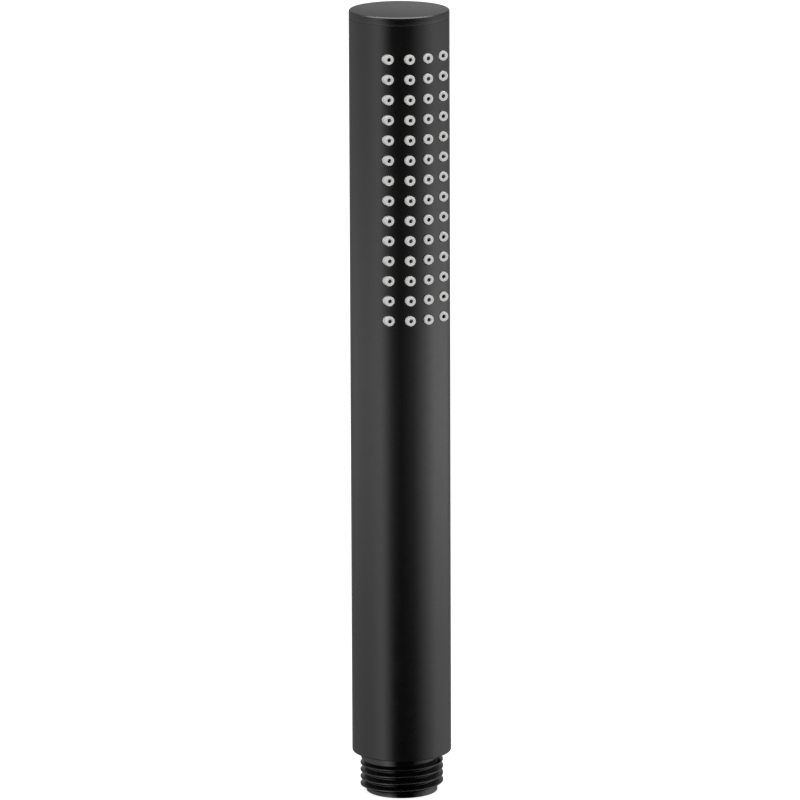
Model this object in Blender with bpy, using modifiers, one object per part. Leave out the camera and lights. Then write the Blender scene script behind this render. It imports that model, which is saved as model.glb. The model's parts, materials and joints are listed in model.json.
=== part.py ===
"""Stick hand shower with a straight round barrel and a field of silicone spray nozzles.

The origin is the centre of the threaded end face. +Z runs up the barrel to the cap, and the
nozzles spray towards -Y. All sizes are in metres.
"""

import math

import bmesh
import bpy
from mathutils import Matrix

# Gap between pieces that seat on each other
FIT = 0.0003
# How far a cutter runs past the wall that it cuts
OVERCUT = 0.001

# Barrel and cap
BARREL_RADIUS = 0.0125
BARREL_WALL = 0.001
BODY_LENGTH = 0.1895
BARREL_EDGE = 0.0003
CAP_HEIGHT = 0.002
CAP_EDGE = 0.0004
CAP_FLOOR = 0.0012
CAP_RING_SECTION = 0.0012
CAP_SPIGOT_WALL = 0.0027

# Nozzle field, with its column pitch as a share of the barrel's radius
NOZZLE_ROWS = 14
NOZZLE_COLUMNS = 4
FIRST_ROW_BELOW_TOP = 0.01045
ROW_PITCH = 0.00506
COLUMN_PITCH_SHARE = 0.386
NOZZLE_ROOT_RADIUS = 0.00125
NOZZLE_TIP_RADIUS = 0.00118
NOZZLE_STANDOUT = 0.001
JET_RADIUS = 0.00042
MAT_THICKNESS = 0.0012
MAT_BORDER_ANGLE = math.radians(30.4)
MAT_END_BORDER = 0.003

# Water chamber behind the nozzle mat, with its radius as a share of the insert's
CHAMBER_SHARE = 0.67
CHAMBER_WALL = 0.0018
CHAMBER_END_WALL = 0.001
TROUGH_FLOOR = 0.0025
TROUGH_MARGIN = 0.0003
PLATE_THICKNESS = 0.0012
FEED_HOLE_RADIUS = 0.0008
FEED_ROWS = 7
WATERWAY_RADIUS = 0.004

# Inner tube, with a sealing collar at each end
TUBE_WALL = 0.001
RING_SECTION = 0.0015
RING_LAND = 0.0012
SOCKET_WALL = 0.0015
SOCKET_DEPTH = 0.008

# Inlet with its hose thread
INLET_REACH = 0.0105
SHOULDER_RADIUS = 0.0103
SHOULDER_LENGTH = 0.0014
NECK_RADIUS = 0.0093
NECK_LENGTH = 0.0003
THREAD_RADIUS = 0.01048
TIP_RADIUS = 0.00865
TIP_LENGTH = 0.0009
TIP_EDGE = 0.0003
PLUG_RECESS = 0.0005
INLET_BORE_RADIUS = 0.0064
BORE_STEP_HEIGHT = 0.0136

# Inlet filter and flow regulator, stacked in the inlet bore
FILTER_HEIGHT = 0.0015
FILTER_RIM = 0.0009
FILTER_SCREEN = 0.0006
FILTER_HOLE = 0.0011
FILTER_PITCH = 0.0018
COVER_HEIGHT = 0.0008
REGULATOR_HEIGHT = 0.0051
REGULATOR_RING_SECTION = 0.0012
REGULATOR_LIP = 0.0005
FLOW_RING_SECTION = 0.0013
FLOW_RING_RADIUS = 0.0031
FLOW_HOLE_RADIUS = 0.00055
COVER_HOLE_RADIUS = 0.0011
FLOW_HOLES = 6

# Sides of the round shapes
OUTER_SIDES = 40
INSERT_SIDES = 32
INNER_SIDES = 20
HOLE_SIDES = 10
FLOW_HOLE_SIDES = 8
NOZZLE_SIDES = 8
JET_SIDES = 6
RING_SIDES = 20
SECTION_SIDES = 6

# Heights of the barrel and cap
BARREL_BOTTOM = INLET_REACH
CAP_TOP = BARREL_BOTTOM + BODY_LENGTH
FLANGE_BOTTOM = CAP_TOP - CAP_HEIGHT
BARREL_TOP = FLANGE_BOTTOM - FIT
BORE_RADIUS = BARREL_RADIUS - BARREL_WALL
INSERT_RADIUS = BORE_RADIUS - FIT

# Places of the nozzles across the barrel and up it
COLUMN_PITCH = COLUMN_PITCH_SHARE * BARREL_RADIUS
COLUMN_OFFSETS = [(i - (NOZZLE_COLUMNS - 1) / 2) * COLUMN_PITCH for i in range(NOZZLE_COLUMNS)]
ROW_HEIGHTS = [CAP_TOP - FIRST_ROW_BELOW_TOP - i * ROW_PITCH for i in range(NOZZLE_ROWS)]
HOLE_RADIUS = NOZZLE_ROOT_RADIUS + FIT

# Nozzle mat against the barrel's bore, and its seat on the chamber body
MAT_RADIUS = INSERT_RADIUS
MAT_INNER_RADIUS = MAT_RADIUS - MAT_THICKNESS
MAT_TOP = ROW_HEIGHTS[0] + MAT_END_BORDER
MAT_BOTTOM = ROW_HEIGHTS[-1] - MAT_END_BORDER
OUTER_COLUMN_ANGLE = math.asin(COLUMN_OFFSETS[-1] / MAT_INNER_RADIUS)
MAT_HALF_ANGLE = OUTER_COLUMN_ANGLE + MAT_BORDER_ANGLE
SEAT_RADIUS = MAT_INNER_RADIUS - FIT
POCKET_TOP = MAT_TOP + FIT
POCKET_BOTTOM = MAT_BOTTOM - FIT
POCKET_HALF_ANGLE = MAT_HALF_ANGLE + FIT / SEAT_RADIUS

# Trough behind the jets, with the flat plate on its floor
TROUGH_HALF_WIDTH = COLUMN_OFFSETS[-1] + JET_RADIUS + TROUGH_MARGIN
TROUGH_TOP = ROW_HEIGHTS[0] + JET_RADIUS + TROUGH_MARGIN
TROUGH_BOTTOM = ROW_HEIGHTS[-1] - JET_RADIUS - TROUGH_MARGIN
PLATE_BACK = TROUGH_FLOOR + FIT
SPRAY_BODY_TOP = POCKET_TOP + CHAMBER_END_WALL
CHAMBER_RADIUS = CHAMBER_SHARE * INSERT_RADIUS

# Sealing rings lie in grooves with the fit on every side
RING_GROOVE = RING_SECTION + 2 * FIT
GROOVE_FLOOR = BORE_RADIUS - RING_GROOVE
CAP_RING_GROOVE = CAP_RING_SECTION + 2 * FIT
CAP_GROOVE_FLOOR = BORE_RADIUS - CAP_RING_GROOVE
CAP_HOLLOW_RADIUS = CAP_GROOVE_FLOOR - CAP_SPIGOT_WALL
REGULATOR_RING_GROOVE = REGULATOR_RING_SECTION + 2 * FIT

# Sealing ring of the chamber body, between its pocket and its shoulder
SPRAY_BODY_SEAL = POCKET_BOTTOM - CHAMBER_END_WALL - RING_GROOVE / 2
SPRAY_BODY_SHOULDER = SPRAY_BODY_SEAL - RING_GROOVE / 2 - RING_LAND

# Inner tube and its two sockets
TUBE_RADIUS = WATERWAY_RADIUS + TUBE_WALL
SOCKET_RADIUS = TUBE_RADIUS + RING_GROOVE
COLLAR_RADIUS = SOCKET_RADIUS - FIT
COLLAR_LENGTH = RING_GROOVE + 2 * RING_LAND

# Inlet plug in the barrel, with two sealing rings below the tube's socket
PLUG_BOTTOM = BARREL_BOTTOM + PLUG_RECESS
LOWER_SEAL = BORE_STEP_HEIGHT + RING_LAND + RING_GROOVE / 2
UPPER_SEAL = LOWER_SEAL + RING_GROOVE + RING_LAND
LOWER_SOCKET_FLOOR = UPPER_SEAL + RING_GROOVE / 2 + RING_LAND
PLUG_TOP = LOWER_SOCKET_FLOOR + SOCKET_DEPTH
UPPER_SOCKET_FLOOR = SPRAY_BODY_SHOULDER
SPRAY_BODY_BOTTOM = UPPER_SOCKET_FLOOR - SOCKET_DEPTH
TUBE_BOTTOM = LOWER_SOCKET_FLOOR + FIT
TUBE_TOP = UPPER_SOCKET_FLOOR - FIT
TUBE_LOWER_SEAL = TUBE_BOTTOM + COLLAR_LENGTH / 2
TUBE_UPPER_SEAL = TUBE_TOP - COLLAR_LENGTH / 2

# Cap spigot down to the chamber body
SPIGOT_BOTTOM = SPRAY_BODY_TOP + FIT
CAP_SEAL = (FLANGE_BOTTOM + SPIGOT_BOTTOM) / 2

# Stack in the inlet bore, from its step down
STACK_RADIUS = INLET_BORE_RADIUS - FIT
REGULATOR_TOP = BORE_STEP_HEIGHT - FIT
REGULATOR_BOTTOM = REGULATOR_TOP - REGULATOR_HEIGHT
REGULATOR_SEAL = REGULATOR_TOP - REGULATOR_LIP - REGULATOR_RING_GROOVE / 2
FLOW_GROOVE = FLOW_RING_SECTION + 2 * FIT
COVER_TOP = REGULATOR_BOTTOM - FIT
COVER_BOTTOM = COVER_TOP - COVER_HEIGHT
FILTER_TOP = COVER_BOTTOM - FIT
FILTER_BOTTOM = FILTER_TOP - FILTER_HEIGHT

# Merge distance for points that are meant to coincide
WELD = 0.000001


def clear_scene():
    for obj in list(bpy.data.objects):
        bpy.data.objects.remove(obj, do_unlink=True)


def new_collection(name):
    collection = bpy.data.collections.new(name)
    bpy.context.scene.collection.children.link(collection)
    return collection


def linear(channel):
    """One sRGB channel from 0 to 1, as linear light."""
    return channel / 12.92 if channel <= 0.04045 else ((channel + 0.055) / 1.055) ** 2.4


def new_material(name, colour, roughness, metallic=0.0):
    material = bpy.data.materials.new(name)
    material.use_nodes = True
    shader = material.node_tree.nodes["Principled BSDF"]
    channels = [linear(int(colour[i : i + 2], 16) / 255) for i in (0, 2, 4)]
    shader.inputs["Base Color"].default_value = (*channels, 1.0)
    shader.inputs["Roughness"].default_value = roughness
    shader.inputs["Metallic"].default_value = metallic
    material.diffuse_color = (*channels, 1.0)
    return material


def add_object(name, mesh):
    """An object of the shower, in the collection that holds its pieces."""
    obj = bpy.data.objects.new(name, mesh)
    PIECES.objects.link(obj)
    return obj


def keep_as_cutter(obj):
    PIECES.objects.unlink(obj)
    CUTTERS.objects.link(obj)
    obj.hide_render = True
    obj.display_type = "WIRE"


def bake(obj):
    """Gives an object the mesh that its modifiers make, and drops the modifiers."""
    bpy.context.view_layer.update()
    evaluated = obj.evaluated_get(bpy.context.evaluated_depsgraph_get())
    mesh = bpy.data.meshes.new_from_object(evaluated)
    old = obj.data
    obj.modifiers.clear()
    obj.data = mesh
    mesh.name = obj.name
    bpy.data.meshes.remove(old)


def combine(obj, other, operation):
    boolean = obj.modifiers.new(operation.lower(), "BOOLEAN")
    boolean.operation = operation
    boolean.solver = "EXACT"
    boolean.object = other
    bake(obj)
    keep_as_cutter(other)


def cut(obj, cutter):
    combine(obj, cutter, "DIFFERENCE")


def join(obj, other):
    combine(obj, other, "UNION")


def finish(obj, material):
    """Shades the round sides smooth, keeps the edges and gives the piece its material."""
    obj.data.shade_smooth()
    obj.data.set_sharp_from_angle(angle=math.radians(30))
    obj.data.materials.clear()
    obj.data.materials.append(material)
    return obj


def turned(name, outline, sides):
    """A solid turned about Z from (radius, height) points that run down its outer side.

    An outline that starts and ends on the axis stays open there, and any other is closed.
    """
    count = len(outline)
    edges = [(i, i + 1) for i in range(count - 1)]
    if outline[0][0] > 0:
        edges.append((count - 1, 0))
    mesh = bpy.data.meshes.new(name)
    mesh.from_pydata([(radius, 0, height) for radius, height in outline], edges, [])
    obj = add_object(name, mesh)
    screw = obj.modifiers.new("turn", "SCREW")
    screw.steps = sides
    screw.render_steps = sides
    screw.use_merge_vertices = True
    screw.merge_threshold = WELD
    bake(obj)
    return obj


def disc(name, radius, bottom, top, sides):
    """A solid cylinder on the Z axis."""
    return turned(name, [(0, top), (radius, top), (radius, bottom), (0, bottom)], sides)


def block(name, low, high):
    """A box between two corners."""
    middle = [(a + b) / 2 for a, b in zip(low, high)]
    size = [b - a for a, b in zip(low, high)]
    return blocks(name, [middle], size)


def blocks(name, middles, size):
    """Boxes of one size, each centred on its own place."""
    bm = bmesh.new()
    for middle in middles:
        matrix = Matrix.Translation(middle) @ Matrix.Diagonal((*size, 1))
        bmesh.ops.create_cube(bm, size=1, matrix=matrix)
    mesh = bpy.data.meshes.new(name)
    bm.to_mesh(mesh)
    bm.free()
    return add_object(name, mesh)


def groove(outer, floor, centre, width):
    """Outline points of a ring groove, from its top lip to its bottom lip."""
    top = centre + width / 2
    bottom = centre - width / 2
    return [(outer, top), (floor, top), (floor, bottom), (outer, bottom)]


def sector(name, inner, outer, half_angle, bottom, top):
    """A curved slab about Z, centred on the spray side, from a flat outline of two arcs."""
    steps = math.ceil(INSERT_SIDES * half_angle / math.pi)
    angles = [half_angle * (2 * i / steps - 1) - math.pi / 2 for i in range(steps + 1)]
    points = [(outer * math.cos(a), outer * math.sin(a)) for a in angles]
    points += [(inner * math.cos(a), inner * math.sin(a)) for a in reversed(angles)]
    curve = bpy.data.curves.new(name, "CURVE")
    curve.dimensions = "2D"
    curve.fill_mode = "BOTH"
    curve.extrude = (top - bottom) / 2
    spline = curve.splines.new("POLY")
    spline.points.add(len(points) - 1)
    for point, (x, y) in zip(spline.points, points):
        point.co = (x, y, 0, 1)
    spline.use_cyclic_u = True
    outline = add_object(name, curve)
    outline.location.z = (top + bottom) / 2
    return mesh_from_curve(outline)


def mesh_from_curve(outline):
    """Replaces a curve object by a welded mesh object in the same place."""
    bpy.context.view_layer.update()
    evaluated = outline.evaluated_get(bpy.context.evaluated_depsgraph_get())
    mesh = bpy.data.meshes.new_from_object(evaluated)
    bm = bmesh.new()
    bm.from_mesh(mesh)
    bmesh.ops.remove_doubles(bm, verts=bm.verts, dist=WELD)
    bmesh.ops.recalc_face_normals(bm, faces=bm.faces)
    bm.to_mesh(mesh)
    bm.free()
    name = outline.name
    place = outline.matrix_world.copy()
    bpy.data.objects.remove(outline)
    obj = add_object(name, mesh)
    obj.matrix_world = place
    return obj


def repeat(name, mesh, places):
    """One object that holds a copy of a mesh under each of the given matrices."""
    bm = bmesh.new()
    for place in places:
        copy = mesh.copy()
        copy.transform(place)
        bm.from_mesh(copy)
        bpy.data.meshes.remove(copy)
    merged = bpy.data.meshes.new(name)
    bm.to_mesh(merged)
    bm.free()
    return add_object(name, merged)


def rods(name, radius, sides, places, length):
    """Round rods of one size, each centred on its matrix and running along its own Z."""
    bm = bmesh.new()
    for place in places:
        bmesh.ops.create_cone(
            bm,
            cap_ends=True,
            segments=sides,
            radius1=radius,
            radius2=radius,
            depth=length,
            matrix=place,
        )
    mesh = bpy.data.meshes.new(name)
    bm.to_mesh(mesh)
    bm.free()
    return add_object(name, mesh)


def ring(name, outer_radius, height, section):
    """A round sealing ring about Z."""
    bpy.ops.mesh.primitive_torus_add(
        location=(0, 0, height),
        major_radius=outer_radius - section / 2,
        minor_radius=section / 2,
        major_segments=RING_SIDES,
        minor_segments=SECTION_SIDES,
    )
    obj = bpy.context.object
    for collection in list(obj.users_collection):
        collection.objects.unlink(obj)
    PIECES.objects.link(obj)
    obj.name = name
    obj.data.name = name
    return obj


def depth(radius, offset):
    """How far a round surface lies in front of the axis, at an offset to the side."""
    return math.sqrt(max(radius**2 - offset**2, 0))


def spray_side(offset, height, distance):
    """A place in front of the axis whose own Z points along the spray."""
    turn = Matrix.Rotation(math.pi / 2, 4, "X")
    return Matrix.Translation((offset, -distance, height)) @ turn


def nozzle_places(distance):
    """Places of all the nozzles, at a distance that depends on the column's offset."""
    return [spray_side(x, z, distance(x)) for z in ROW_HEIGHTS for x in COLUMN_OFFSETS]


def make_barrel():
    """Thin tube with one round hole for each nozzle."""
    top_edge = [(BARREL_RADIUS - BARREL_EDGE, BARREL_TOP), (BARREL_RADIUS, BARREL_TOP - BARREL_EDGE)]
    foot_edge = [
        (BARREL_RADIUS, BARREL_BOTTOM + BARREL_EDGE),
        (BARREL_RADIUS - BARREL_EDGE, BARREL_BOTTOM),
    ]
    bore = [(BORE_RADIUS, BARREL_BOTTOM), (BORE_RADIUS, BARREL_TOP)]
    barrel = turned("barrel", top_edge + foot_edge + bore, OUTER_SIDES)
    inside = depth(BORE_RADIUS, COLUMN_OFFSETS[-1] + HOLE_RADIUS) - OVERCUT
    outside = BARREL_RADIUS + OVERCUT
    places = nozzle_places(lambda x: (inside + outside) / 2)
    cut(barrel, rods("nozzle_holes", HOLE_RADIUS, HOLE_SIDES, places, outside - inside))
    return finish(barrel, BLACK_PAINT)


def make_top_cap():
    """Flange on the barrel's end, with a hollow spigot and a groove for its ring."""
    outline = [
        (0, CAP_TOP),
        (BARREL_RADIUS - CAP_EDGE, CAP_TOP),
        (BARREL_RADIUS, CAP_TOP - CAP_EDGE),
        (BARREL_RADIUS, FLANGE_BOTTOM),
        (INSERT_RADIUS, FLANGE_BOTTOM),
    ]
    outline += groove(INSERT_RADIUS, CAP_GROOVE_FLOOR, CAP_SEAL, CAP_RING_GROOVE)
    outline += [
        (INSERT_RADIUS, SPIGOT_BOTTOM),
        (CAP_HOLLOW_RADIUS, SPIGOT_BOTTOM),
        (CAP_HOLLOW_RADIUS, CAP_TOP - CAP_FLOOR),
        (0, CAP_TOP - CAP_FLOOR),
    ]
    return finish(turned("top_cap", outline, OUTER_SIDES), BLACK_PAINT)


def make_nozzle_mat():
    """Curved silicone sheet with a hollow nipple through each hole of the barrel."""
    blank_radius = MAT_INNER_RADIUS - OVERCUT
    mat = sector("nozzle_mat", blank_radius, MAT_RADIUS, MAT_HALF_ANGLE, MAT_BOTTOM, MAT_TOP)
    reach = depth(BARREL_RADIUS, COLUMN_OFFSETS[-1])
    root = depth(MAT_INNER_RADIUS, COLUMN_OFFSETS[-1] + NOZZLE_ROOT_RADIUS) - FIT
    length = reach + NOZZLE_STANDOUT - root
    outline = [
        (0, 0),
        (NOZZLE_TIP_RADIUS, 0),
        (NOZZLE_ROOT_RADIUS, -NOZZLE_STANDOUT),
        (NOZZLE_ROOT_RADIUS, -length),
        (0, -length),
    ]
    nipple = turned("nipple", outline, NOZZLE_SIDES)
    places = nozzle_places(lambda x: depth(BARREL_RADIUS, x) + NOZZLE_STANDOUT)
    join(mat, repeat("nipples", nipple.data, places))
    keep_as_cutter(nipple)
    past_ends = (MAT_BOTTOM - OVERCUT, MAT_TOP + OVERCUT)
    cut(mat, disc("mat_inside", MAT_INNER_RADIUS, *past_ends, INSERT_SIDES))
    jet_length = BARREL_RADIUS + NOZZLE_STANDOUT + OVERCUT
    jet_places = nozzle_places(lambda x: jet_length / 2)
    cut(mat, rods("jets", JET_RADIUS, JET_SIDES, jet_places, jet_length))
    return finish(mat, SILICONE)


def make_distributor_plate():
    """Flat plate in the trough, with rows of feed holes between the nozzle columns."""
    sides = TROUGH_HALF_WIDTH - FIT
    low = (-sides, -PLATE_BACK - PLATE_THICKNESS, TROUGH_BOTTOM + FIT)
    high = (sides, -PLATE_BACK, TROUGH_TOP - FIT)
    plate = block("distributor_plate", low, high)
    feed_pitch = (ROW_HEIGHTS[0] - ROW_HEIGHTS[-1]) / FEED_ROWS
    places = []
    for row in range(FEED_ROWS):
        for offset in COLUMN_OFFSETS[:-1]:
            spot = (offset + COLUMN_PITCH / 2, ROW_HEIGHTS[0] - (row + 0.5) * feed_pitch)
            places.append(spray_side(*spot, PLATE_BACK + PLATE_THICKNESS / 2))
    length = PLATE_THICKNESS + 2 * OVERCUT
    cut(plate, rods("feed_holes", FEED_HOLE_RADIUS, FLOW_HOLE_SIDES, places, length))
    return finish(plate, CLEAR_WHITE)


def make_spray_body():
    """Water chamber with an open front that carries the mat, and a socket for the tube."""
    outline = [(0, SPRAY_BODY_TOP), (INSERT_RADIUS, SPRAY_BODY_TOP)]
    outline += groove(INSERT_RADIUS, GROOVE_FLOOR, SPRAY_BODY_SEAL, RING_GROOVE)
    outline += [
        (INSERT_RADIUS, SPRAY_BODY_SHOULDER),
        (SOCKET_RADIUS + SOCKET_WALL, SPRAY_BODY_SHOULDER - SOCKET_WALL),
        (SOCKET_RADIUS + SOCKET_WALL, SPRAY_BODY_BOTTOM),
        (SOCKET_RADIUS, SPRAY_BODY_BOTTOM),
        (SOCKET_RADIUS, UPPER_SOCKET_FLOOR),
        (WATERWAY_RADIUS, UPPER_SOCKET_FLOOR),
        (WATERWAY_RADIUS, POCKET_BOTTOM + OVERCUT),
        (0, POCKET_BOTTOM + OVERCUT),
    ]
    body = turned("spray_body", outline, INSERT_SIDES)
    chamber = disc("chamber", CHAMBER_RADIUS, POCKET_BOTTOM, POCKET_TOP, INSERT_SIDES)
    chamber.location.y = INSERT_RADIUS - CHAMBER_WALL - CHAMBER_RADIUS
    cut(body, chamber)
    outside = INSERT_RADIUS + OVERCUT
    cut(body, sector("pocket", SEAT_RADIUS, outside, POCKET_HALF_ANGLE, POCKET_BOTTOM, POCKET_TOP))
    low = (-TROUGH_HALF_WIDTH, -outside, TROUGH_BOTTOM)
    high = (TROUGH_HALF_WIDTH, -TROUGH_FLOOR, TROUGH_TOP)
    cut(body, block("trough", low, high))
    return finish(body, CLEAR_WHITE)


def make_inner_tube():
    """Water tube with a thicker grooved collar at each end."""
    outline = [(COLLAR_RADIUS, TUBE_TOP)]
    outline += groove(COLLAR_RADIUS, TUBE_RADIUS, TUBE_UPPER_SEAL, RING_GROOVE)
    outline += [
        (COLLAR_RADIUS, TUBE_TOP - COLLAR_LENGTH),
        (TUBE_RADIUS, TUBE_TOP - COLLAR_LENGTH),
        (TUBE_RADIUS, TUBE_BOTTOM + COLLAR_LENGTH),
        (COLLAR_RADIUS, TUBE_BOTTOM + COLLAR_LENGTH),
    ]
    outline += groove(COLLAR_RADIUS, TUBE_RADIUS, TUBE_LOWER_SEAL, RING_GROOVE)
    outline += [(COLLAR_RADIUS, TUBE_BOTTOM), (WATERWAY_RADIUS, TUBE_BOTTOM), (WATERWAY_RADIUS, TUBE_TOP)]
    return finish(turned("inner_tube", outline, INNER_SIDES), CLEAR_WHITE)


def make_connector():
    """Plug in the barrel's foot, with a shoulder, a neck and the plain body of the hose thread."""
    shoulder_bottom = BARREL_BOTTOM - SHOULDER_LENGTH
    neck_top = shoulder_bottom - (SHOULDER_RADIUS - NECK_RADIUS) / 2
    neck_bottom = neck_top - NECK_LENGTH
    thread_top = neck_bottom - (THREAD_RADIUS - NECK_RADIUS) / 2
    thread_bottom = TIP_LENGTH + (THREAD_RADIUS - TIP_RADIUS) / 2
    outline = [(INSERT_RADIUS, PLUG_TOP)]
    outline += groove(INSERT_RADIUS, GROOVE_FLOOR, UPPER_SEAL, RING_GROOVE)
    outline += groove(INSERT_RADIUS, GROOVE_FLOOR, LOWER_SEAL, RING_GROOVE)
    outline += [
        (INSERT_RADIUS, PLUG_BOTTOM),
        (SHOULDER_RADIUS, PLUG_BOTTOM),
        (SHOULDER_RADIUS, shoulder_bottom),
        (NECK_RADIUS, neck_top),
        (NECK_RADIUS, neck_bottom),
        (THREAD_RADIUS, thread_top),
        (THREAD_RADIUS, thread_bottom),
        (TIP_RADIUS, TIP_LENGTH),
        (TIP_RADIUS, TIP_EDGE),
        (TIP_RADIUS - TIP_EDGE, 0),
        (INLET_BORE_RADIUS, 0),
        (INLET_BORE_RADIUS, BORE_STEP_HEIGHT),
        (WATERWAY_RADIUS, BORE_STEP_HEIGHT),
        (WATERWAY_RADIUS, LOWER_SOCKET_FLOOR),
        (SOCKET_RADIUS, LOWER_SOCKET_FLOOR),
        (SOCKET_RADIUS, PLUG_TOP),
    ]
    return finish(turned("connector", outline, INSERT_SIDES), BLACK_PLASTIC)


def make_sealing_rings():
    """Rings in the grooves of the cap, the chamber, the tube, the plug and the regulator."""
    rings = [
        ring("cap_o_ring", INSERT_RADIUS, CAP_SEAL, CAP_RING_SECTION),
        ring("spray_body_o_ring", INSERT_RADIUS, SPRAY_BODY_SEAL, RING_SECTION),
        ring("tube_upper_o_ring", COLLAR_RADIUS, TUBE_UPPER_SEAL, RING_SECTION),
        ring("tube_lower_o_ring", COLLAR_RADIUS, TUBE_LOWER_SEAL, RING_SECTION),
        ring("connector_upper_o_ring", INSERT_RADIUS, UPPER_SEAL, RING_SECTION),
        ring("connector_lower_o_ring", INSERT_RADIUS, LOWER_SEAL, RING_SECTION),
        ring("regulator_o_ring", STACK_RADIUS, REGULATOR_SEAL, REGULATOR_RING_SECTION),
    ]
    return [finish(obj, SEAL_RUBBER) for obj in rings]


def flow_hole_places(height):
    """Places of the flow holes on their circle, each running along Z."""
    angles = [2 * math.pi * i / FLOW_HOLES for i in range(FLOW_HOLES)]
    spots = [(FLOW_RING_RADIUS * math.cos(a), FLOW_RING_RADIUS * math.sin(a), height) for a in angles]
    return [Matrix.Translation(spot) for spot in spots]


def make_regulator_body():
    """Flow regulator housing, with a seat for its elastic ring and a circle of flow holes."""
    seat_outer = FLOW_RING_RADIUS + FLOW_GROOVE / 2
    seat_inner = FLOW_RING_RADIUS - FLOW_GROOVE / 2
    seat_top = REGULATOR_BOTTOM + FLOW_GROOVE
    ring_floor = INLET_BORE_RADIUS - REGULATOR_RING_GROOVE
    outline = [(0, REGULATOR_TOP), (STACK_RADIUS, REGULATOR_TOP)]
    outline += groove(STACK_RADIUS, ring_floor, REGULATOR_SEAL, REGULATOR_RING_GROOVE)
    outline += [
        (STACK_RADIUS, REGULATOR_BOTTOM),
        (seat_outer, REGULATOR_BOTTOM),
        (seat_outer, seat_top),
        (seat_inner, seat_top),
        (seat_inner, REGULATOR_BOTTOM),
        (0, REGULATOR_BOTTOM),
    ]
    body = turned("regulator_body", outline, INNER_SIDES)
    places = flow_hole_places((seat_top + REGULATOR_TOP) / 2)
    length = REGULATOR_TOP - seat_top + 2 * OVERCUT
    cut(body, rods("flow_holes", FLOW_HOLE_RADIUS, FLOW_HOLE_SIDES, places, length))
    return finish(body, REGULATOR_PLASTIC)


def make_regulator_ring():
    """Elastic ring that narrows the flow holes as the pressure rises."""
    height = REGULATOR_BOTTOM + FLOW_GROOVE / 2
    outer = FLOW_RING_RADIUS + FLOW_RING_SECTION / 2
    return finish(ring("regulator_flow_ring", outer, height, FLOW_RING_SECTION), SEAL_RUBBER)


def make_regulator_cover():
    """Perforated disc that keeps the elastic ring in its seat."""
    cover = disc("regulator_cover", STACK_RADIUS, COVER_BOTTOM, COVER_TOP, INNER_SIDES)
    places = flow_hole_places((COVER_BOTTOM + COVER_TOP) / 2)
    length = COVER_HEIGHT + 2 * OVERCUT
    cut(cover, rods("cover_holes", COVER_HOLE_RADIUS, FLOW_HOLE_SIDES, places, length))
    return finish(cover, REGULATOR_PLASTIC)


def make_inlet_filter():
    """Moulded strainer with a rim and a square grid of holes."""
    screen_radius = STACK_RADIUS - FILTER_RIM
    outline = [
        (0, FILTER_BOTTOM + FILTER_SCREEN),
        (screen_radius, FILTER_BOTTOM + FILTER_SCREEN),
        (screen_radius, FILTER_TOP),
        (STACK_RADIUS, FILTER_TOP),
        (STACK_RADIUS, FILTER_BOTTOM),
        (0, FILTER_BOTTOM),
    ]
    strainer = turned("inlet_filter", outline, INNER_SIDES)
    reach = math.floor(screen_radius / FILTER_PITCH)
    corner_reach = FILTER_HOLE / math.sqrt(2)
    middles = []
    for i in range(-reach, reach + 1):
        for j in range(-reach, reach + 1):
            spot = (i * FILTER_PITCH, j * FILTER_PITCH, FILTER_BOTTOM + FILTER_SCREEN / 2)
            if math.hypot(spot[0], spot[1]) + corner_reach < screen_radius - FIT:
                middles.append(spot)
    hole_size = (FILTER_HOLE, FILTER_HOLE, FILTER_SCREEN + 2 * OVERCUT)
    cut(strainer, blocks("filter_holes", middles, hole_size))
    return finish(strainer, CLEAR_WHITE)


clear_scene()
PIECES = new_collection("hand_shower")
CUTTERS = new_collection("cutters")
BLACK_PAINT = new_material("satin_black_paint", "1C1C1D", 0.42)
BLACK_PLASTIC = new_material("gloss_black_plastic", "121213", 0.15)
SILICONE = new_material("pale_grey_silicone", "D6D6D4", 0.5)
CLEAR_WHITE = new_material("natural_white_plastic", "DAD8D0", 0.4)
REGULATOR_PLASTIC = new_material("pale_blue_plastic", "8FA9B8", 0.35)
SEAL_RUBBER = new_material("black_rubber", "1A1A1A", 0.7)

pieces = [
    make_barrel(),
    make_top_cap(),
    make_nozzle_mat(),
    make_distributor_plate(),
    make_spray_body(),
    make_inner_tube(),
    make_connector(),
    make_regulator_body(),
    make_regulator_ring(),
    make_regulator_cover(),
    make_inlet_filter(),
]
pieces += make_sealing_rings()

base = bpy.data.objects.new("hand_shower_base", None)
PIECES.objects.link(base)
for piece in pieces:
    piece.parent = base
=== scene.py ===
"""Stick hand shower in satin black, with pale silicone nozzles and a threaded hose inlet.

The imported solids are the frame. The barrel, cap, nozzle mat, inlet and strainer are built again
here with fine edges, and the inner solids keep their shape. Sizes are in metres and angles in
degrees, counted from the spray towards +X.
"""
import json
import math

import bmesh
import bpy
from mathutils import Matrix, Vector


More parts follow.
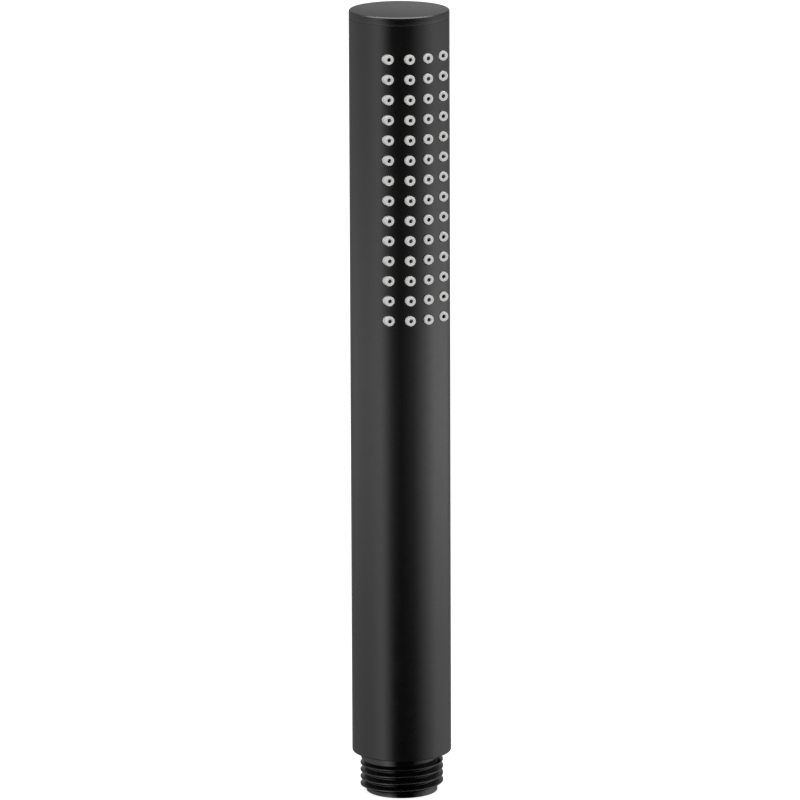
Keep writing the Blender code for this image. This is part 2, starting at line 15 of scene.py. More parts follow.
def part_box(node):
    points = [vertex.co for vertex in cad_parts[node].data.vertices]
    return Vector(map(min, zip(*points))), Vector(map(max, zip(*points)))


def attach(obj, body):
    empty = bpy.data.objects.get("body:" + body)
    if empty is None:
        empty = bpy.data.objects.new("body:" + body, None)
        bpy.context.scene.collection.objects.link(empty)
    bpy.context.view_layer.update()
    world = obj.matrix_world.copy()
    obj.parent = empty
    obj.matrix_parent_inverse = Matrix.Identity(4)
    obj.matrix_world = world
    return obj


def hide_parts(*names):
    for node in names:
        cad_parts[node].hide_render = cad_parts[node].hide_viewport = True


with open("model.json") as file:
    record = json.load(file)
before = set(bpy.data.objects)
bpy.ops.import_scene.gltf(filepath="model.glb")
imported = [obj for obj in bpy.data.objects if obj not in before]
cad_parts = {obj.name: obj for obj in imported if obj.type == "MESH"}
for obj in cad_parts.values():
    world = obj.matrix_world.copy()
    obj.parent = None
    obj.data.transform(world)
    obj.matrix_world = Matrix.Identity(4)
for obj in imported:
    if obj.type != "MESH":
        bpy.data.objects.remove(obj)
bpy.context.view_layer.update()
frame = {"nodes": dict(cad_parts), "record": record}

# Angle at which the photo's camera stands, from which the thread's turn is counted too
FRONT_ANGLE = -22.6

# Barrel wall, and the rounding of its ends and of its nozzle holes
BARREL_RADIUS = 0.0125
BORE_RADIUS = 0.0115
BARREL_FOOT = 0.0105
BARREL_TOP = 0.19795
SEAM_EDGE = 0.00003
FOOT_EDGE = 0.00025
HOLE_RADIUS = 0.0013
HOLE_EDGE = 0.00012

# Cap: a disc on the barrel's end, with a hollow spigot in the bore
CAP_TOP = 0.2
CAP_FOOT = 0.198
CAP_EDGE = 0.0004
SPIGOT_RADIUS = 0.0112
SPIGOT_FOOT = 0.1948
SPIGOT_EDGE = 0.0002
HOLLOW_RADIUS = 0.007
HOLLOW_TOP = 0.1988
HOLLOW_EDGE = 0.0003

# Nozzles: 14 rows of 4, all parallel to the spray
COLUMN_OFFSETS = (-0.0072375, -0.0024125, 0.0024125, 0.0072375)
ROW_PITCH = 0.00506
ROWS = 14
FIRST_ROW = 0.18955
ROOT_RADIUS = 0.00125
TIP_RADIUS = 0.00124
TIP_EDGE = 0.0002
STANDOUT = 0.0008
ROW_HEIGHTS = [FIRST_ROW - i * ROW_PITCH for i in range(ROWS)]
FIELD_TOP = ROW_HEIGHTS[0] + ROW_PITCH / 2
FIELD_BOTTOM = ROW_HEIGHTS[-1] - ROW_PITCH / 2

# Jet of a nozzle, with a thin lip over its wider bore
JET_RADIUS = 0.0005
JET_EDGE = 0.00015
LIP_DEPTH = 0.0004
NIPPLE_BORE = 0.00085

# Silicone mat behind the barrel's wall
MAT_RADIUS = 0.0112
MAT_INNER_RADIUS = 0.010
MAT_TOP = 0.19255
MAT_BOTTOM = 0.12077
MAT_HALF_ANGLE = 76.8

# Angles between the columns' cells, on the barrel and on the mat
BARREL_BORDERS = (-50.5, -23.07, 0, 23.07, 50.5)
MAT_BORDERS = (-62, -26, 0, 26, 62)

# Hose thread of 14 turns to the inch. It starts and ends by its turn from the front, where one of
# its crests has the height CREST_AT_FRONT
THREAD_PITCH = 0.001814
THREAD_RADIUS = 0.01048
THREAD_CORE = 0.0091
CREST_AT_FRONT = BARREL_FOOT - 0.00294
THREAD_START = -1270
THREAD_END = 150
THREAD_FADE = 75
FLANK_ANGLE = 27.5
HALF_CREST = 0.00013
CREST_EDGE = 0.00006
RIDGE_SINK = 0.00015

# Smooth shoulder over the thread. Marks of (turn from the front, reach below the barrel in mm)
SHOULDER_RADIUS = 0.0103
SHOULDER_TOP = 0.0112
SHOULDER_EDGE = 0.00015
SHOULDER_SLOPE = 0.0006
SHOULDER_SINK = 0.0002
SHOULDER_REACH = [(-180, 1.1), (-100, 2.0), (-35, 2.1), (0, 1.95), (55, 1.05), (90, 0.8), (180, 1.1)]

# Inlet: plain tip below the thread, and the plug in the barrel with its two ring grooves
TIP_END_RADIUS = 0.009
TIP_TOP = 0.0012
TIP_SHOULDER = 0.0009
TIP_OUTER_EDGE = 0.0001
TIP_BORE_EDGE = 0.0002
PLUG_RADIUS = 0.0112
PLUG_FOOT = 0.011
PLUG_TOP = 0.0294
PLUG_EDGE = 0.0001
GROOVE_RADIUS = 0.0094
GROOVES = [(0.0202, 0.0181), (0.0169, 0.0148)]
INLET_BORE = 0.0064
INLET_BORE_TOP = 0.0136
PASSAGE_RADIUS = 0.004
SOCKET_RADIUS = 0.0071
SOCKET_FLOOR = 0.0214

# Strainer: the undersides of the bars that cross lie a little higher, clear of the others
STRAINER_RIM = 0.0009
STRAINER_EDGE = 0.0001
BAR_PITCH = 0.0018
BAR_WIDTH = 0.0007
BAR_HEIGHT = 0.0006
BAR_OVERLAP = 0.0002
BARS_EACH_WAY = 6
CROSSING_LIFT = 0.00001

# How finely the round forms are divided
TURN_STEPS = 160
EDGE_STEPS = 4
CELL_STEPS = 8
BACK_STEPS = 76
END_STEPS = 8
MAT_SIDE_STEPS = 4
SHOULDER_STEPS = 120
THREAD_STEP_ANGLE = 3

# Points closer than this are one, and edges sharper than this angle stay sharp
MERGE_DISTANCE = 1e-7
SHARP_ANGLE = 50

# Stage
CAMERA_DISTANCE = 1.8192
CAMERA_HEIGHT = 0.51545
CAMERA_TILT = 12.837
CAMERA_ROLL = 0.207
CAMERA_PAN = 0.0039
LENS = 335.64
FLOOR_RADIUS = 3.0
FLOOR_LIFT = 0.8
WORLD_LIGHT = 0.85
LAMP_HEIGHT = 0.8
LAMP_WIDTH = 1.0
LAMP_GLOW = 5.0

# Studio tent. Its windows lean, a band over the camera glows, and the foot fades to LOW_GLOW.
# Pairs are the (start, end) of a change, by height or by the way towards the camera
TENT_RADIUS = 0.5
TENT_TOP = 0.9
TENT_BOTTOM = -0.5
TENT_STEPS = 96
TENT_LEAN = 20
MIDDLE_FADE = (0, 0.1)
OVERHEAD_BAND = 2.5
OVERHEAD_RISE = (0.38, 0.46)
FRONT_RISE = (-0.2, 0.1)
LOW_RISE = (-0.38, -0.24)
LOW_GLOW = 0.1

# Two soft windows in the tent, one on either side of a dark strip that faces the camera. Marks
# of (angle from the camera, glow), and what the middle height adds to them
LEFT_WINDOW = [(-180, 0.4), (-150, 0.2), (-110, 0.6), (-70, 0.9), (-45, 1.5), (-20, 0)]
RIGHT_WINDOW = [(30, 0), (85, 1.2), (150, 0.2), (180, 0.4)]
MIDDLE_GLOW = [(-150, 0), (-70, 0.8), (-45, 0.5), (-20, 0.5), (0, 0.1), (30, 0.6), (80, 1.5), (150, 0)]


def linear(hex_colour):
    """An sRGB hex colour as linear red, green, blue and alpha."""
    channels = [int(hex_colour[i : i + 2], 16) / 255 for i in (0, 2, 4)]
    return [c / 12.92 if c <= 0.04045 else ((c + 0.055) / 1.055) ** 2.4 for c in channels] + [1.0]


def add_node(tree, kind, settings=(), links=()):
    """Adds a node, with (name, value) for its properties or inputs and (input, socket) links."""
    node = tree.nodes.new(kind)
    for name, value in settings:
        if isinstance(name, str) and hasattr(node, name):
            setattr(node, name, value)
        else:
            node.inputs[name].default_value = value
    for name, socket in links:
        tree.links.new(socket, node.inputs[name])
    return node


def maths(tree, operation, *terms):
    """The result of an operation on terms that are numbers or sockets."""
    settings = [("operation", operation)]
    links = []
    for i, term in enumerate(terms):
        if isinstance(term, (int, float)):
            settings.append((i, term))
        else:
            links.append((i, term))
    return add_node(tree, "ShaderNodeMath", settings, links).outputs[0]


def principled(name, colour, **values):
    """A material whose shader has these values, with its tree, shader and object coordinates."""
    material = bpy.data.materials.new(name)
    material.use_nodes = True
    tree = material.node_tree
    shader = tree.nodes["Principled BSDF"]
    shader.inputs["Base Color"].default_value = linear(colour)
    for key, value in values.items():
        shader.inputs[key.replace("_", " ")].default_value = value
    place = add_node(tree, "ShaderNodeTexCoord").outputs["Object"]
    return material, tree, shader, place


def grain(tree, place, size_mm, detail=2.0):
    """Noise whose features are about size_mm across."""
    settings = (("Scale", 1000 / size_mm), ("Detail", detail), ("Roughness", 0.5))
    return add_node(tree, "ShaderNodeTexNoise", settings, [("Vector", place)]).outputs["Fac"]


def spread(tree, value, low, high):
    """A noise value stretched from its usual range to low and high."""
    settings = (("From Min", 0.3), ("From Max", 0.7), ("To Min", low), ("To Max", high))
    return add_node(tree, "ShaderNodeMapRange", settings, [("Value", value)]).outputs["Result"]


def tint(tree, value, first, second):
    """A colour between two, by a value from 0 to 1."""
    settings = (("data_type", "RGBA"), (6, linear(first)), (7, linear(second)))
    return add_node(tree, "ShaderNodeMix", settings, [(0, value)]).outputs[2]


def relief(tree, height, depth_mm, strength=1.0, normal=None):
    """A bump of the given depth."""
    settings = (("Distance", depth_mm / 1000), ("Strength", strength))
    links = [("Height", height)] + ([("Normal", normal)] if normal else [])
    return add_node(tree, "ShaderNodeBump", settings, links).outputs["Normal"]


def satin_black_paint():
    """Black powder paint on brass: a soft satin sheen, a faint orange peel and fine dust grain.

    The peel of the real coat is about 0.3 mm wide, and it is drawn at 0.7 mm so that it shows.
    """
    material, tree, shader, place = principled("satin_black_paint", "080809", Roughness=0.26)
    peel = grain(tree, place, 0.7)
    dust = grain(tree, place, 0.25, 1.0)
    soft = relief(tree, peel, 0.004, 0.5)
    tree.links.new(relief(tree, dust, 0.001, 0.4, soft), shader.inputs["Normal"])
    tree.links.new(spread(tree, grain(tree, place, 2.5), 0.24, 0.28), shader.inputs["Roughness"])
    tree.links.new(tint(tree, peel, "070708", "09090A"), shader.inputs["Base Color"])
    return material


def gloss_black_moulding():
    """Black ABS from a polished mould: sharp dark gloss with slight flow marks."""
    material, tree, shader, place = principled("gloss_black_moulding", "080809", Roughness=0.14, IOR=1.57)
    flow = grain(tree, place, 1.6)
    tree.links.new(relief(tree, flow, 0.006, 0.4), shader.inputs["Normal"])
    tree.links.new(spread(tree, flow, 0.11, 0.18), shader.inputs["Roughness"])
    tree.links.new(tint(tree, flow, "070708", "0A0A0B"), shader.inputs["Base Color"])
    return material


def pale_silicone():
    """Moulded silicone: soft, slightly see-through pale grey with a dull skin."""
    material, tree, shader, place = principled(
        "pale_silicone", "E8E8E6", Roughness=0.32, IOR=1.41, Subsurface_Weight=0.2
    )
    shader.inputs["Subsurface Radius"].default_value = (1.0, 1.0, 0.95)
    shader.inputs["Subsurface Scale"].default_value = 0.0004
    bloom = grain(tree, place, 0.5)
    tree.links.new(relief(tree, bloom, 0.006, 0.4), shader.inputs["Normal"])
    tree.links.new(spread(tree, bloom, 0.28, 0.38), shader.inputs["Roughness"])
    tree.links.new(tint(tree, bloom, "E2E2E0", "EEEEEC"), shader.inputs["Base Color"])
    return material


def natural_acetal():
    """Uncoloured acetal moulding: milky white with a fine spark-eroded mould grain."""
    material, tree, shader, place = principled("natural_acetal", "DAD8D0", Roughness=0.4)
    spark = grain(tree, place, 0.4)
    tree.links.new(relief(tree, spark, 0.01, 0.5), shader.inputs["Normal"])
    tree.links.new(tint(tree, spark, "D6D4CB", "DEDCD4"), shader.inputs["Base Color"])
    return material


def pale_blue_acetal():
    """Dyed acetal moulding of the flow regulator: pale blue with a fine mould grain."""
    material, tree, shader, place = principled("pale_blue_acetal", "8FA9B8", Roughness=0.35)
    spark = grain(tree, place, 0.4)
    tree.links.new(relief(tree, spark, 0.01, 0.5), shader.inputs["Normal"])
    tree.links.new(tint(tree, spark, "89A4B3", "95AEBD"), shader.inputs["Base Color"])
    return material


def seal_rubber():
    """Black nitrile rubber: matte, with a faint pale bloom."""
    material, tree, shader, place = principled("seal_rubber", "1A1A1A", Roughness=0.7)
    bloom = grain(tree, place, 0.8)
    tree.links.new(relief(tree, bloom, 0.01, 0.5), shader.inputs["Normal"])
    tree.links.new(tint(tree, bloom, "171717", "222221"), shader.inputs["Base Color"])
    return material


def seen_rays(tree):
    """1 for rays from the camera and for those that show in gloss or glass, and 0 for the rest."""
    rays = add_node(tree, "ShaderNodeLightPath").outputs
    gloss = maths(tree, "MAXIMUM", rays["Is Camera Ray"], rays["Is Glossy Ray"])
    return maths(tree, "MAXIMUM", gloss, rays["Is Transmission Ray"])


def white_paper():
    """Matte white backdrop paper, lifted to white for the eye so that only the shadow shows."""
    material, tree, shader, place = principled("white_paper", "C4C4C4", Roughness=0.9)
    shader.inputs["Specular IOR Level"].default_value = 0.0
    fibre = grain(tree, place, 6.0)
    tree.links.new(tint(tree, fibre, "C2C2C2", "C6C6C6"), shader.inputs["Base Color"])
    shader.inputs["Emission Color"].default_value = linear("FFFFFF")
    lift = maths(tree, "MULTIPLY", seen_rays(tree), FLOOR_LIFT)
    tree.links.new(lift, shader.inputs["Emission Strength"])
    return material


def glow_round(tree, share, marks):
    """A glow that follows the angle round the tent, by marks of (angle, glow)."""
    ramp = add_node(tree, "ShaderNodeValToRGB", links=[("Fac", share)])
    stops = ramp.color_ramp.elements
    for i, (angle, glow) in enumerate(marks):
        position = angle / 360 + 0.5
        if i == 0:
            stop = stops[0]
        elif i == len(marks) - 1:
            stop = stops[-1]
        else:
            stop = stops.new(position)
        stop.position = position
        stop.color = (glow, glow, glow, 1)
    return ramp.outputs["Color"]


def eased(tree, value, way, low, high):
    """A value eased from low to high, as it goes the way from its start to its end."""
    settings = (("interpolation_type", "SMOOTHSTEP"), ("From Min", way[0]), ("From Max", way[1]))
    goal = (("To Min", low), ("To Max", high))
    return add_node(tree, "ShaderNodeMapRange", settings + goal, [("Value", value)]).outputs[0]


def tent_fabric():
    """Studio tent that glows in two soft windows, which give the paint its sheen."""
    material, tree, shader, place = principled("tent_fabric", "000000", Specular_IOR_Level=0)
    split = add_node(tree, "ShaderNodeSeparateXYZ", links=[("Vector", place)]).outputs
    turn = add_node(tree, "ShaderNodeTexGradient", [("gradient_type", "RADIAL")], [("Vector", place)])
    share = maths(tree, "MULTIPLY_ADD", split["Z"], TENT_LEAN / 360, turn.outputs["Fac"])
    middle = eased(tree, maths(tree, "ABSOLUTE", split["Z"]), MIDDLE_FADE, 1, 0)
    windows = glow_round(tree, share, LEFT_WINDOW + RIGHT_WINDOW)
    wall = maths(tree, "MULTIPLY_ADD", glow_round(tree, share, MIDDLE_GLOW), middle, windows)
    wall = maths(tree, "MULTIPLY", wall, eased(tree, split["Z"], LOW_RISE, LOW_GLOW, 1))
    overhead = eased(tree, split["Z"], OVERHEAD_RISE, 0, OVERHEAD_BAND)
    front = eased(tree, split["X"], FRONT_RISE, 0, 1)
    glow = maths(tree, "MULTIPLY_ADD", overhead, front, wall)
    shader.inputs["Emission Color"].default_value = linear("FFFFFF")
    tree.links.new(glow, shader.inputs["Emission Strength"])
    return material


def add_object(name, data):
    """An object with this mesh, lamp or camera, in the scene."""
    added = bpy.data.objects.new(name, data)
    bpy.context.scene.collection.objects.link(added)
    return added


def new_mesh(name, bm, material):
    """Turns a bmesh into a mesh of one material."""
    mesh = bpy.data.meshes.new(name)
    bm.to_mesh(mesh)
    bm.free()
    mesh.materials.append(material)
    return mesh


def new_piece(name, bm, material, replaced):
    """Turns a bmesh into a piece on the body, which stands for one of the solids."""
    bmesh.ops.remove_doubles(bm, verts=bm.verts, dist=MERGE_DISTANCE)
    bmesh.ops.recalc_face_normals(bm, faces=bm.faces)
    mesh = new_mesh(name, bm, material)
    mesh.shade_smooth()
    mesh.set_sharp_from_angle(angle=math.radians(SHARP_ANGLE))
    piece = add_object(name, mesh)
    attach(piece, "root")
    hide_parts(replaced)
    return piece


def rounded(corners):
    """Outline points of (radius, height, edge) corners, each rounded by its own edge radius."""
    points = []
    for i, (radius, height, edge) in enumerate(corners):
        here = Vector((radius, height))
        if edge == 0:
            points.append(here)
            continue
        back = (Vector(corners[i - 1][:2]) - here).normalized()
        ahead = (Vector(corners[(i + 1) % len(corners)][:2]) - here).normalized()
        half = back.angle(ahead) / 2
        centre = here + (back + ahead).normalized() * (edge / math.sin(half))
        start = here + back * (edge / math.tan(half)) - centre
        end = here + ahead * (edge / math.tan(half)) - centre
        for step in range(EDGE_STEPS + 1):
            points.append(centre + start.lerp(end, step / EDGE_STEPS).normalized() * edge)
    return points


def on_wall(radius, angle, height):
    """A point at an angle from the spray towards +X."""
    turn = math.radians(angle)
    return Vector((radius * math.sin(turn), -radius * math.cos(turn), height))


def steps(start, end, count):
    """Values from start to end, in count equal steps."""
    return [start + (end - start) * i / count for i in range(count + 1)]


def skin(bm, rows, closed):
    """Faces between neighbouring rows of points, closed on themselves or not."""
    rows = [[bm.verts.new(point) for point in row] for row in rows]
    for upper, lower in zip(rows, rows[1:]):
        count = len(upper)
        for i in range(count if closed else count - 1):
            j = (i + 1) % count
            bm.faces.new((upper[i], upper[j], lower[j], lower[i]))


def fill_holes(bm):
    """Closes each open loop of edges with a face."""
    bmesh.ops.holes_fill(bm, edges=[edge for edge in bm.edges if edge.is_boundary], sides=0)


def sweep(bm, outline, angles):
    """Wall parts from outline points of (radius, height), at each of the angles."""
    skin(bm, [[on_wall(r, a, z) for a in angles] for r, z in outline], False)


def turned(bm, corners):
    """A body turned about Z from the corners of a closed outline, or of one that ends on the axis."""
    outline = rounded(corners)
    if outline[0][0] > 0:
        outline.append(outline[0])
    sweep(bm, outline, steps(0, 360, TURN_STEPS))
    bmesh.ops.dissolve_degenerate(bm, edges=bm.edges, dist=MERGE_DISTANCE / 10)


def cell_border(radius, angles, heights):
    """Points round a nozzle's cell on a wall, counted from its upper corner on the +X side."""
    corners = [
        (angles[1], heights[1]),
        (angles[0], heights[1]),
        (angles[0], heights[0]),
        (angles[1], heights[0]),
    ]
    points = []
    for (a, z), (next_a, next_z) in zip(corners, corners[1:] + corners[:1]):
        for share in steps(0, 1, CELL_STEPS)[:-1]:
            points.append(on_wall(radius, a + (next_a - a) * share, z + (next_z - z) * share))
    return points


def circle(offset, height, radius):
    """Points (x, z) round a nozzle's axis, in step with its cell's border."""
    count = 4 * CELL_STEPS
    turns = [math.pi / 4 + 2 * math.pi * i / count for i in range(count)]
    return [(offset + radius * math.cos(t), height + radius * math.sin(t)) for t in turns]


def sunk_circle(offset, height, radius, wall, sink):
    """A circle that follows a round wall, sunk into it along the spray."""
    points = circle(offset, height, radius)
    return [Vector((x, sink - math.sqrt(wall**2 - x**2), z)) for x, z in points]


def flat_circle(offset, height, radius, reach):
    """A circle square to the spray, at a reach in front of the axis."""
    return [Vector((x, -reach, z)) for x, z in circle(offset, height, radius)]


def between(first, second, wall):
    """A loop half way between two loops on a wall."""
    loop = []
    for a, b in zip(first, second):
        middle = (a + b) / 2
        loop.append(on_wall(wall, math.degrees(math.atan2(middle.x, -middle.y)), middle.z))
    return loop


def edge_rings(edge):
    """(outward, sink) shares of a rounded edge, from the face round to the hole's wall."""
    turns = steps(0, math.pi / 2, EDGE_STEPS)
    return [(edge * (1 - math.sin(t)), edge * (1 - math.cos(t))) for t in turns]


def cells(borders):
    """Each nozzle's offset and height, with the angles and heights that border its cell."""
    for column, offset in enumerate(COLUMN_OFFSETS):
        for height in ROW_HEIGHTS:
            heights = (height - ROW_PITCH / 2, height + ROW_PITCH / 2)
            yield offset, height, borders[column : column + 2], heights


def field_heights():
    """Heights down the whole nozzle field, in step with the cells."""
    return steps(FIELD_TOP, FIELD_BOTTOM, ROWS * CELL_STEPS)


def field_angles(borders):
    """Angles across the whole nozzle field, in step with the cells."""
    angles = []
    for low, high in zip(borders, borders[1:]):
        angles += steps(low, high, CELL_STEPS)[:-1]
    return angles + [borders[-1]]


def make_barrel(material):
    """Painted tube whose nozzle holes have softly rounded rims."""
    bm = bmesh.new()
    for offset, height, angles, heights in cells(BARREL_BORDERS):
        outer = cell_border(BARREL_RADIUS, angles, heights)
        inner = cell_border(BORE_RADIUS, angles, heights)
        rims = []
        for outward, sink in edge_rings(HOLE_EDGE):
            rims.append(sunk_circle(offset, height, HOLE_RADIUS + outward, BARREL_RADIUS, sink))
        inner_rim = sunk_circle(offset, height, HOLE_RADIUS, BORE_RADIUS, 0)
        loops = [outer, between(outer, rims[0], BARREL_RADIUS), *rims, inner_rim, inner]
        skin(bm, loops, True)
    front = field_angles(BARREL_BORDERS)
    back = steps(BARREL_BORDERS[-1], 360 + BARREL_BORDERS[0], BACK_STEPS)
    for radius in (BARREL_RADIUS, BORE_RADIUS):
        sweep(bm, [(radius, z) for z in field_heights()], back)
    ends = ((FIELD_TOP, BARREL_TOP, SEAM_EDGE), (FIELD_BOTTOM, BARREL_FOOT, FOOT_EDGE))
    for field_end, end, edge in ends:
        corners = [
            (BARREL_RADIUS, field_end, 0),
            (BARREL_RADIUS, end, edge),
            (BORE_RADIUS, end, edge / 2),
            (BORE_RADIUS, field_end, 0),
        ]
        outline = rounded(corners)
        plain = [(BARREL_RADIUS, z) for z in steps(field_end, end, END_STEPS)[1:-1]]
        sweep(bm, outline[:1] + plain + outline[1:], front[:-1] + back)
    piece = new_piece("painted_barrel", bm, material, "barrel")
    round_shading(piece)


def round_shading(piece):
    """Points the normals of the barrel's outside straight out, so that the holes don't dent it."""
    normals = []
    for vertex in piece.data.vertices:
        across = Vector((vertex.co.x, vertex.co.y, 0))
        on_outside = abs(across.length - BARREL_RADIUS) < MERGE_DISTANCE
        normals.append(across.normalized() if on_outside else Vector((0, 0, 0)))
    piece.data.normals_split_custom_set_from_vertices(normals)


def make_cap(material):
    """Painted cap: a flat top with a fine rounded edge over the spigot in the barrel."""
    bm = bmesh.new()
    corners = [
        (0, CAP_TOP, 0),
        (BARREL_RADIUS, CAP_TOP, CAP_EDGE),
        (BARREL_RADIUS, CAP_FOOT, SEAM_EDGE),
        (SPIGOT_RADIUS, CAP_FOOT, 0),
        (SPIGOT_RADIUS, SPIGOT_FOOT, SPIGOT_EDGE),
        (HOLLOW_RADIUS, SPIGOT_FOOT, SPIGOT_EDGE),
        (HOLLOW_RADIUS, HOLLOW_TOP, HOLLOW_EDGE),
        (0, HOLLOW_TOP, 0),
    ]
    turned(bm, corners)
    new_piece("painted_cap", bm, material, "top_cap")


def nipple_loops(offset, height):
    """Loops from a nipple's foot over its rounded tip and down its jet."""
    face = math.sqrt(BARREL_RADIUS**2 - offset**2)
    reach = face + STANDOUT
    loops = [
        sunk_circle(offset, height, ROOT_RADIUS, MAT_RADIUS, 0),
        flat_circle(offset, height, ROOT_RADIUS, face),
    ]
    for inward, sink in reversed(edge_rings(TIP_EDGE)):
        loops.append(flat_circle(offset, height, TIP_RADIUS - inward, reach - sink))
    for outward, sink in edge_rings(JET_EDGE):
        loops.append(flat_circle(offset, height, JET_RADIUS + outward, reach - sink))
    loops.append(flat_circle(offset, height, JET_RADIUS, reach - LIP_DEPTH))
    loops.append(flat_circle(offset, height, NIPPLE_BORE, reach - 2 * LIP_DEPTH))
    loops.append(sunk_circle(offset, height, NIPPLE_BORE, MAT_INNER_RADIUS, 0))
    return loops


def make_mat(material):
    """Silicone mat with a hollow, softly rounded nipple at each nozzle."""
    bm = bmesh.new()
    for offset, height, angles, heights in cells(MAT_BORDERS):
        outer = cell_border(MAT_RADIUS, angles, heights)
        inner = cell_border(MAT_INNER_RADIUS, angles, heights)
        skin(bm, [outer, *nipple_loops(offset, height), inner], True)
    for side in (-1, 1):
        edge_angles = sorted((side * MAT_BORDERS[-1], side * MAT_HALF_ANGLE))
        outline = [(MAT_RADIUS, MAT_TOP), *[(MAT_RADIUS, z) for z in field_heights()]]
        outline += [(MAT_RADIUS, MAT_BOTTOM), (MAT_INNER_RADIUS, MAT_BOTTOM)]
        outline += [(MAT_INNER_RADIUS, z) for z in reversed(field_heights())]
        outline += [(MAT_INNER_RADIUS, MAT_TOP), (MAT_RADIUS, MAT_TOP)]
        sweep(bm, outline, steps(*edge_angles, MAT_SIDE_STEPS))
    for field_end, end in ((FIELD_TOP, MAT_TOP), (FIELD_BOTTOM, MAT_BOTTOM)):
        outline = [(MAT_RADIUS, field_end), (MAT_RADIUS, end)]
        outline += [(MAT_INNER_RADIUS, end), (MAT_INNER_RADIUS, field_end)]
        sweep(bm, outline, field_angles(MAT_BORDERS))
    bmesh.ops.remove_doubles(bm, verts=bm.verts, dist=MERGE_DISTANCE)
    fill_holes(bm)
    new_piece("silicone_nozzle_mat", bm, material, "nozzle_mat")


def thread_ridge(bm):
    """The helical ridge of the hose thread, with a run-out at both ends.

    Its place round the axis was read from the photograph, as the crests on both silhouettes.
    """
    height = THREAD_RADIUS - THREAD_CORE
    foot = HALF_CREST + height * math.tan(math.radians(FLANK_ANGLE)) + RIDGE_SINK / 2
    corners = [
        (-RIDGE_SINK, -foot, 0),
        (height, -HALF_CREST, CREST_EDGE),
        (height, HALF_CREST, CREST_EDGE),
        (-RIDGE_SINK, foot, 0),
    ]
    section = rounded(corners)
    rows = []
    count = (THREAD_END - THREAD_START) // THREAD_STEP_ANGLE
    for turn in steps(THREAD_START, THREAD_END, count):
        share = min(1, (turn - THREAD_START) / THREAD_FADE, (THREAD_END - turn) / THREAD_FADE)
        rise = math.sin(share * math.pi / 2)
        middle = CREST_AT_FRONT + turn / 360 * THREAD_PITCH
        row = []
        for out, up in section:
            grown = out * rise if out > 0 else out
            row.append(on_wall(THREAD_CORE + grown, FRONT_ANGLE + turn, middle + up))
        rows.append(row)
    skin(bm, rows, True)
    fill_holes(bm)


def shoulder_reach(turn):
    """How far the shoulder reaches below the barrel, where the thread's groove runs out in it."""
    for (angle, reach), (next_angle, next_reach) in zip(SHOULDER_REACH, SHOULDER_REACH[1:]):
        if turn <= next_angle:
            share = (turn - angle) / (next_angle - angle)
            ease = (1 - math.cos(math.pi * share)) / 2
            return (reach + (next_reach - reach) * ease) / 1000


def shoulder(bm):
    """The smooth shoulder between the barrel and the thread, with its slanting lower edge."""
    rows = []
    for turn in steps(-180, 180, SHOULDER_STEPS)[:-1]:
        edge = BARREL_FOOT - shoulder_reach(turn)
        corners = [
            (THREAD_CORE - SHOULDER_SINK, SHOULDER_TOP, 0),
            (SHOULDER_RADIUS, SHOULDER_TOP, 0),
            (SHOULDER_RADIUS, edge, SHOULDER_EDGE),
            (THREAD_CORE - SHOULDER_SINK, edge - SHOULDER_SLOPE, 0),
        ]
        rows.append([on_wall(r, FRONT_ANGLE + turn, z) for r, z in rounded(corners)])
    skin(bm, rows + rows[:1], True)


def make_inlet(material):
    """Black moulded inlet: shoulder, hose thread, plain tip and the plug inside the barrel."""
    bm = bmesh.new()
    corners = [(PLUG_RADIUS, PLUG_TOP, 0)]
    for top, foot in GROOVES:
        corners += [(PLUG_RADIUS, top, 0), (GROOVE_RADIUS, top, 0)]
        corners += [(GROOVE_RADIUS, foot, 0), (PLUG_RADIUS, foot, 0)]
    corners += [
        (PLUG_RADIUS, PLUG_FOOT, PLUG_EDGE),
        (THREAD_CORE, PLUG_FOOT, 0),
        (THREAD_CORE, TIP_TOP, 0),
        (TIP_END_RADIUS, TIP_SHOULDER, 0),
        (TIP_END_RADIUS, 0, TIP_OUTER_EDGE),
        (INLET_BORE, 0, TIP_BORE_EDGE),
        (INLET_BORE, INLET_BORE_TOP, 0),
        (PASSAGE_RADIUS, INLET_BORE_TOP, 0),
        (PASSAGE_RADIUS, SOCKET_FLOOR, 0),
        (SOCKET_RADIUS, SOCKET_FLOOR, 0),
        (SOCKET_RADIUS, PLUG_TOP, 0),
    ]
    turned(bm, corners)
    shoulder(bm)
    thread_ridge(bm)
    new_piece("threaded_inlet", bm, material, "connector")


def bar(bm, start, end, bottom, top):
    """A straight bar of the strainer between two points of the plan."""
    along = (end - start).normalized()
    side = Vector((-along.y, along.x)) * (BAR_WIDTH / 2)
    plan = [start + side, end + side, end - side, start - side]
    lower = [bm.verts.new((*point, bottom)) for point in plan]
    upper = [bm.verts.new((*point, top)) for point in plan]
    bm.faces.new(lower)
    bm.faces.new(upper)
    for i in range(4):
        j = (i + 1) % 4
        bm.faces.new((lower[i], lower[j], upper[j], upper[i]))


def make_strainer(material):
    """Moulded strainer in the inlet's bore: a rim and a square grid of thin bars."""
    bm = bmesh.new()
    low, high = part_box("inlet_filter")
    inner = high.x - STRAINER_RIM
    rim = [
        (high.x, high.z, STRAINER_EDGE),
        (high.x, low.z, STRAINER_EDGE),
        (inner, low.z, STRAINER_EDGE),
        (inner, high.z, STRAINER_EDGE),
    ]
    turned(bm, rim)
    for i in range(BARS_EACH_WAY):
        offset = (i - (BARS_EACH_WAY - 1) / 2) * BAR_PITCH
        half = math.sqrt(max(inner**2 - offset**2, 0)) + BAR_OVERLAP
        start, end = Vector((offset, -half)), Vector((offset, half))
        bar(bm, start, end, low.z, low.z + BAR_HEIGHT)
        bar(bm, start.yx, end.yx, low.z + CROSSING_LIFT, low.z + BAR_HEIGHT)
    new_piece("fine_strainer", bm, material, "inlet_filter")


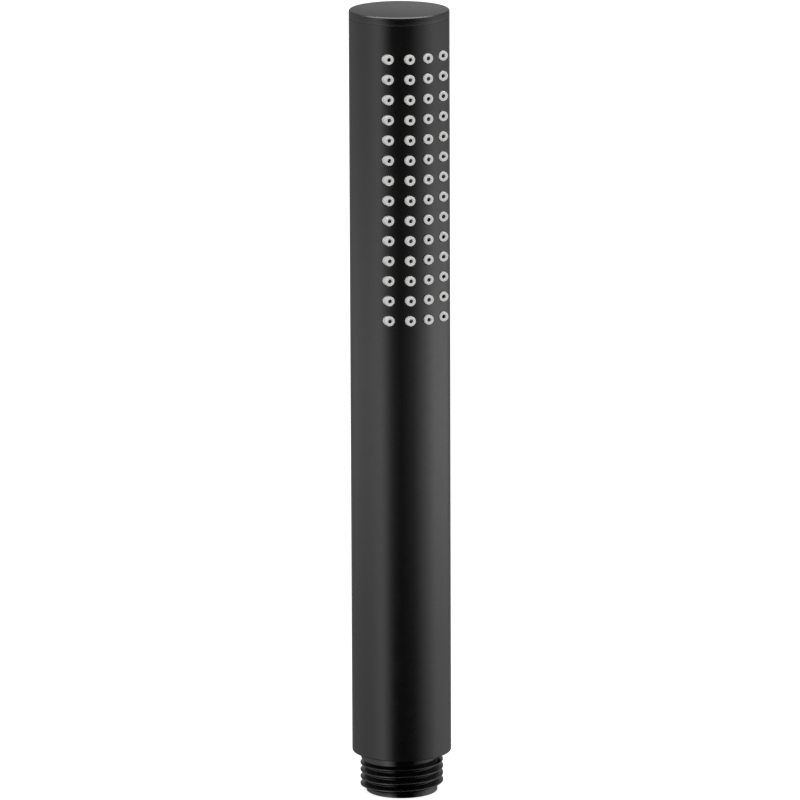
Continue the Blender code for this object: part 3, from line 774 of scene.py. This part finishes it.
def dress_inner_solids(materials):
    """Gives the solids that keep their shape the finish of their material slot."""
    for part in frame["record"]["subparts"]:
        node = frame["nodes"][part["node"]]
        if not node.hide_render:
            node.data.materials.clear()
            node.data.materials.append(materials[part["material_slot"]])


def make_camera():
    """The photo's camera: a long lens from a little above."""
    data = bpy.data.cameras.new("camera")
    data.lens = LENS
    data.sensor_width = 36
    data.clip_start = 0.1
    data.clip_end = 20
    camera = add_object("camera", data)
    place = Matrix.Translation(on_wall(CAMERA_DISTANCE, FRONT_ANGLE, CAMERA_HEIGHT))
    pan = Matrix.Rotation(math.radians(FRONT_ANGLE + CAMERA_PAN), 4, "Z")
    tilt = Matrix.Rotation(math.radians(90 - CAMERA_TILT), 4, "X")
    roll = Matrix.Rotation(math.radians(-CAMERA_ROLL), 4, "Z")
    camera.matrix_world = place @ pan @ tilt @ roll
    bpy.context.scene.camera = camera


def make_floor():
    """A round paper floor, which doesn't show in the paint's gloss."""
    bm = bmesh.new()
    bmesh.ops.create_circle(bm, cap_ends=True, radius=FLOOR_RADIUS, segments=64)
    floor = add_object("floor", new_mesh("floor", bm, white_paper()))
    floor.visible_glossy = False


def make_tent():
    """A round tent that shows only in gloss, with its X axis towards the camera."""
    bm = bmesh.new()
    turns = [math.radians(angle) for angle in steps(0, 360, TENT_STEPS)]
    plan = [(TENT_RADIUS * math.cos(turn), TENT_RADIUS * math.sin(turn)) for turn in turns]
    rows = [[Vector((*point, z)) for point in plan] for z in (TENT_TOP, TENT_BOTTOM)]
    rows.append([Vector((x / 100, y / 100, TENT_BOTTOM)) for x, y in plan])
    skin(bm, rows, False)
    tent = add_object("tent", new_mesh("tent", bm, tent_fabric()))
    tent.rotation_euler.z = math.radians(FRONT_ANGLE - 90)
    tent.visible_camera = False
    tent.visible_diffuse = False
    tent.visible_transmission = False
    tent.visible_shadow = False


def make_overhead_lamp():
    """A soft box above, which draws the light lines on the cap's edge and the thread's crests."""
    data = bpy.data.lights.new("overhead_lamp", "AREA")
    data.shape = "SQUARE"
    data.size = LAMP_WIDTH
    data.energy = LAMP_GLOW * math.pi * LAMP_WIDTH**2
    lamp = add_object("overhead_lamp", data)
    lamp.location = (0, 0, LAMP_HEIGHT)
    lamp.visible_diffuse = False


def make_world():
    """An even white world, whose light on dull surfaces is a little dimmer than it looks."""
    world = bpy.data.worlds.new("white_studio")
    world.use_nodes = True
    tree = world.node_tree
    sky = tree.nodes["Background"]
    sky.inputs["Color"].default_value = linear("FFFFFF")
    settings = (("To Min", WORLD_LIGHT), ("To Max", 1.0))
    level = add_node(tree, "ShaderNodeMapRange", settings, [("Value", seen_rays(tree))])
    tree.links.new(level.outputs["Result"], sky.inputs["Strength"])
    bpy.context.scene.world = world


paint = satin_black_paint()
acetal = natural_acetal()
make_barrel(paint)
make_cap(paint)
make_mat(pale_silicone())
make_inlet(gloss_black_moulding())
make_strainer(acetal)
dress_inner_solids(
    {
        "natural_white_plastic": acetal,
        "pale_blue_plastic": pale_blue_acetal(),
        "black_rubber": seal_rubber(),
    }
)

make_camera()
make_floor()
make_tent()
make_overhead_lamp()
make_world()
bpy.context.scene.view_settings.view_transform = "Standard"
